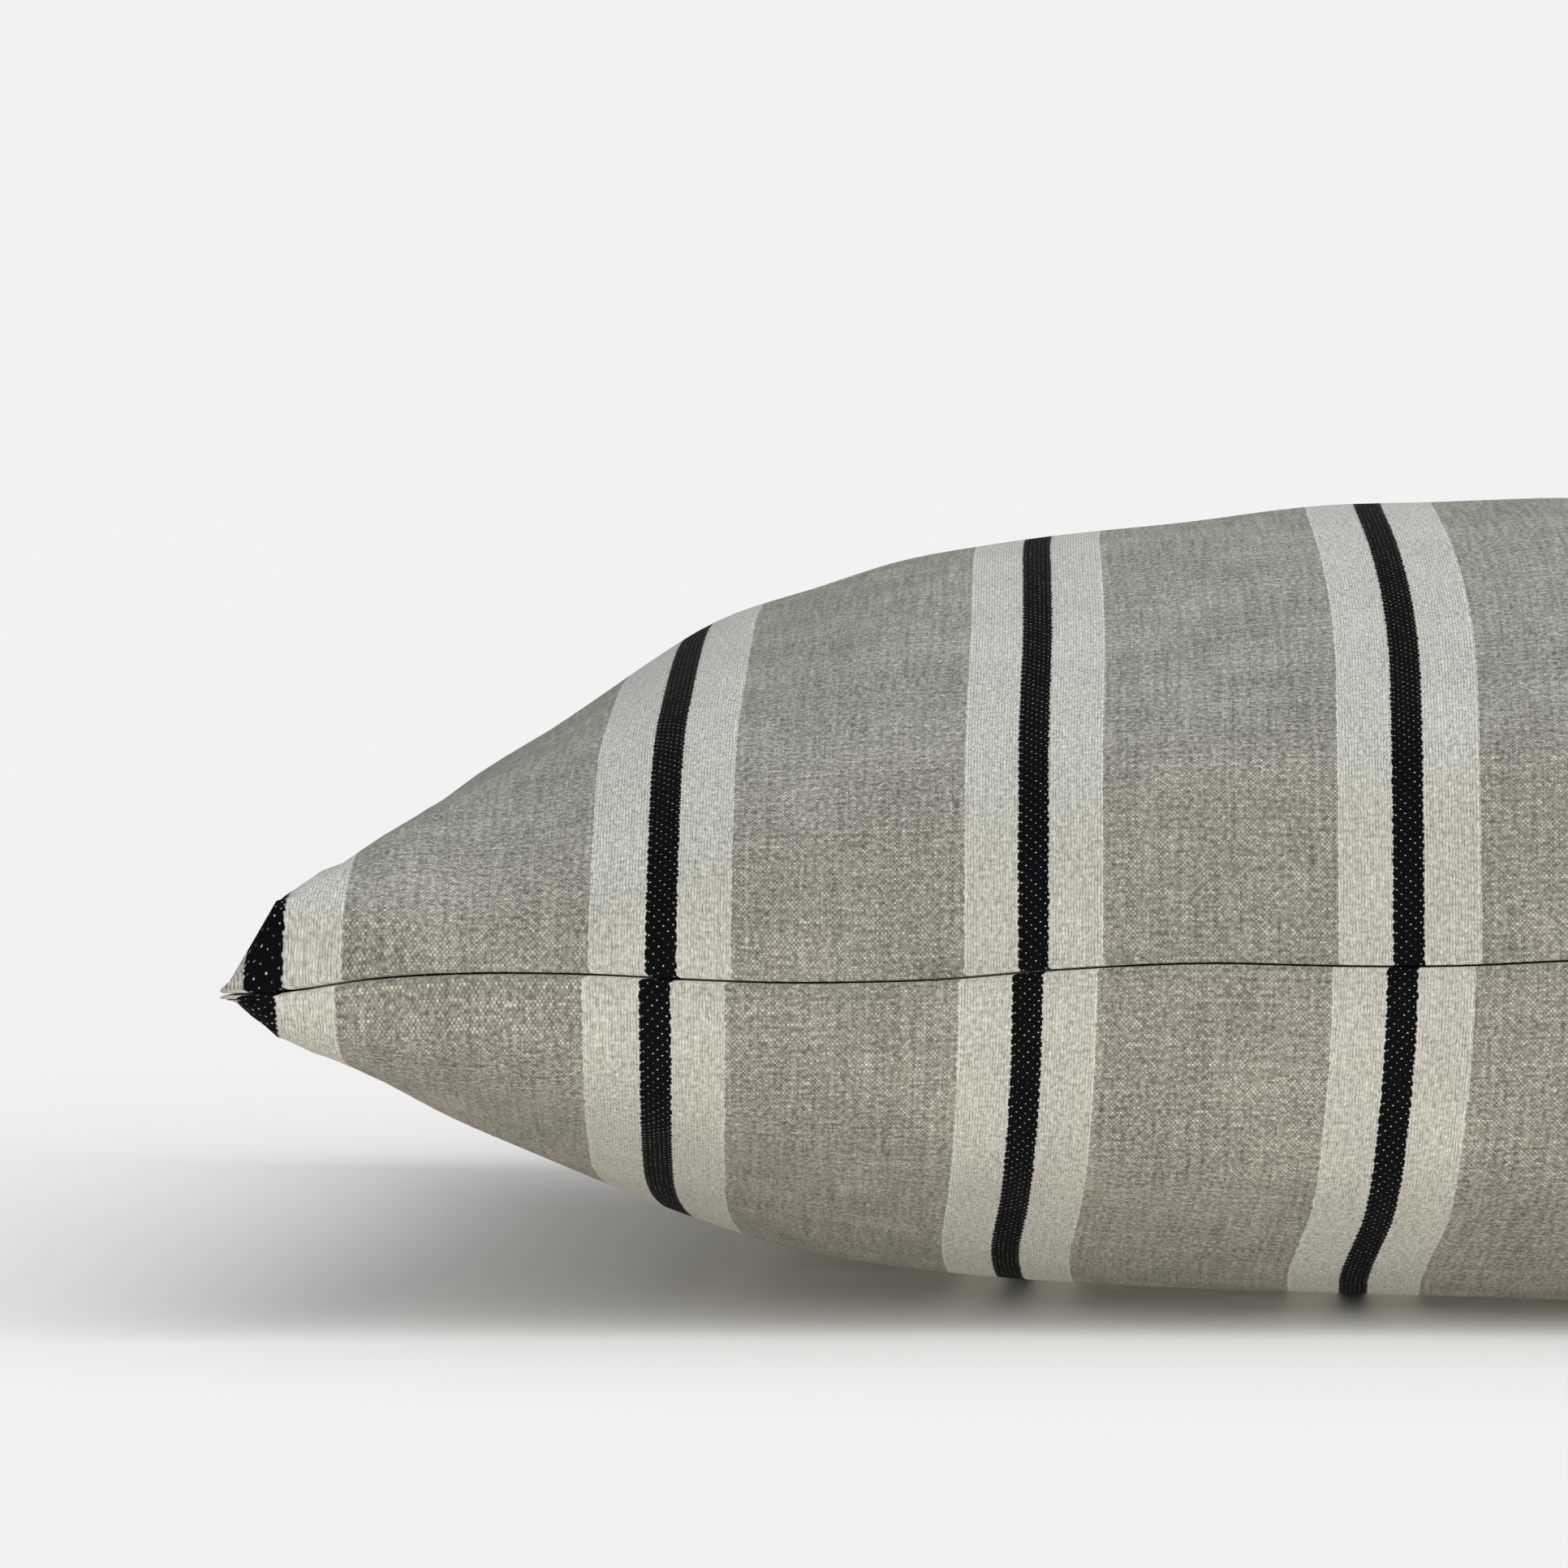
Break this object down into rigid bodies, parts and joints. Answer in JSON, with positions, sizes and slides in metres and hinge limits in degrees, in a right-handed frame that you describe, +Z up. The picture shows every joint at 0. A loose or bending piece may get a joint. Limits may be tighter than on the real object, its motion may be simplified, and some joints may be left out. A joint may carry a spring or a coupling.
{
  "type": "throw pillow",
  "caption": "Square knife-edge throw pillow: a striped woven cover with a concealed zip along one edge, stuffed by a separate filled insert.",
  "frame": {"origin": "on the surface the pillow lies on, under its centre", "axes": "+X along the front edge, across the stripes' direction of repeat; -Y towards the front; +Z up, through the crown; the zip runs along the back edge"},
  "size_m": [0.486, 0.486, 0.1507],
  "materials": {
    "cover_upper_panel": "heathered taupe basketweave with cream and dotted black warp stripes",
    "cover_lower_panel": "heathered taupe basketweave with cream and dotted black warp stripes",
    "seam_thread": "spun sewing thread, taupe",
    "overlock_thread": "soft overlock binding, cream",
    "zipper_tape_upper": "woven herringbone tape, taupe",
    "zipper_tape_lower": "woven herringbone tape, taupe",
    "zipper_coil_upper": "nylon monofilament, taupe",
    "zipper_coil_lower": "nylon monofilament, taupe",
    "zipper_stitch_upper": "spun sewing thread, taupe",
    "zipper_stitch_lower": "spun sewing thread, taupe",
    "zipper_top_stop_upper": "dull nickel",
    "zipper_top_stop_lower": "dull nickel",
    "zipper_bottom_stop": "dull nickel",
    "zipper_slider": "dull nickel",
    "zipper_pull": "dull nickel",
    "insert_upper_ticking": "white plain-weave cotton",
    "insert_lower_ticking": "white plain-weave cotton",
    "insert_seam_thread": "white thread",
    "insert_fill": "white fibre filling"
  },
  "bodies": {
    "pillow": {"cover_upper_panel": "cover_upper_panel", "cover_lower_panel": "cover_lower_panel", "seam_thread": "seam_thread", "overlock_thread": "overlock_thread", "zipper_tape_upper": "zipper_tape_upper", "zipper_tape_lower": "zipper_tape_lower", "zipper_coil_upper": "zipper_coil_upper", "zipper_coil_lower": "zipper_coil_lower", "zipper_stitch_upper": "zipper_stitch_upper", "zipper_stitch_lower": "zipper_stitch_lower", "zipper_top_stop_upper": "zipper_top_stop_upper", "zipper_top_stop_lower": "zipper_top_stop_lower", "zipper_bottom_stop": "zipper_bottom_stop", "insert_upper_ticking": "insert_upper_ticking", "insert_lower_ticking": "insert_lower_ticking", "insert_seam_thread": "insert_seam_thread", "insert_fill": "insert_fill"},
    "slider": {"zipper_slider": "zipper_slider"},
    "pull": {"zipper_pull": "zipper_pull"}
  },
  "joints": [
    {"name": "zip_slide", "type": "slide", "parent": "pillow", "child": "slider", "axis": [-1, 0, 0], "range_m": [0, 0.305]},
    {"name": "pull_hinge", "type": "hinge", "parent": "slider", "child": "pull", "pos_m": [0.1527, 0.2225, 0.068], "axis": [0, 0, -1], "range_deg": [0, 170]}
  ]
}
